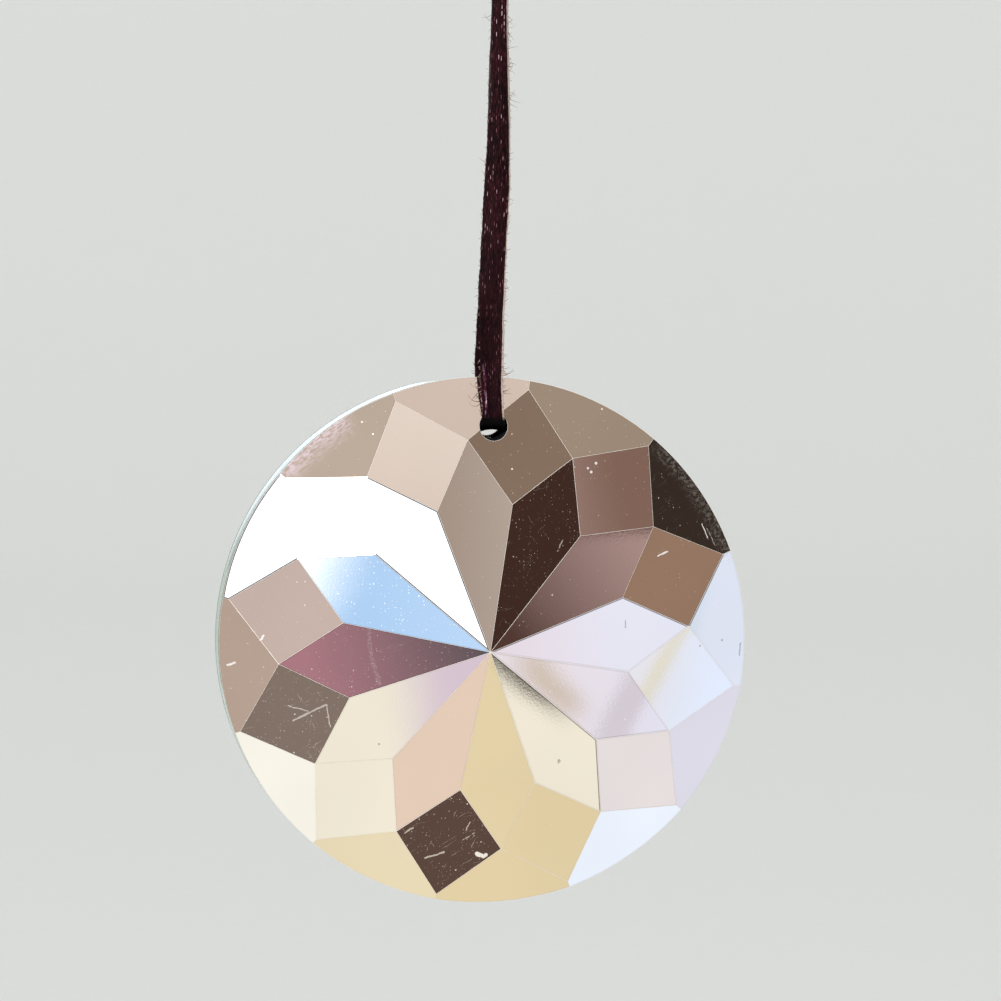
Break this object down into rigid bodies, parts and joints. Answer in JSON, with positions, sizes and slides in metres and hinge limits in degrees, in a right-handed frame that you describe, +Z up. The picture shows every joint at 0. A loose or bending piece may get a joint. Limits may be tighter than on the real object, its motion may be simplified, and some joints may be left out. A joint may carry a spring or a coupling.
{
  "type": "crystal suncatcher",
  "caption": "Round faceted crystal disc with a champagne mirror front, hung through a drilled hole on a doubled satin ribbon with a knotted eye.",
  "frame": {"origin": "inner top of the ribbon's hanging eye, where a hook bears", "axes": "+Z up along the ribbon, -Y the way the faceted front looks, +X to the right of someone facing the front"},
  "size_m": [0.045, 0.0127, 0.0924],
  "materials": {
    "crystal": "clear optical glass, its faceted front vapour coated as a champagne bronze mirror, back and wall clear and polished",
    "ribbon": "dark burgundy brown satin weave with a soft sheen and slightly frayed edges"
  },
  "bodies": {
    "root": {"crystal_disc": "crystal", "ribbon_strands": "ribbon", "ribbon_knot": "ribbon", "ribbon_eye": "ribbon"}
  },
  "joints": []
}
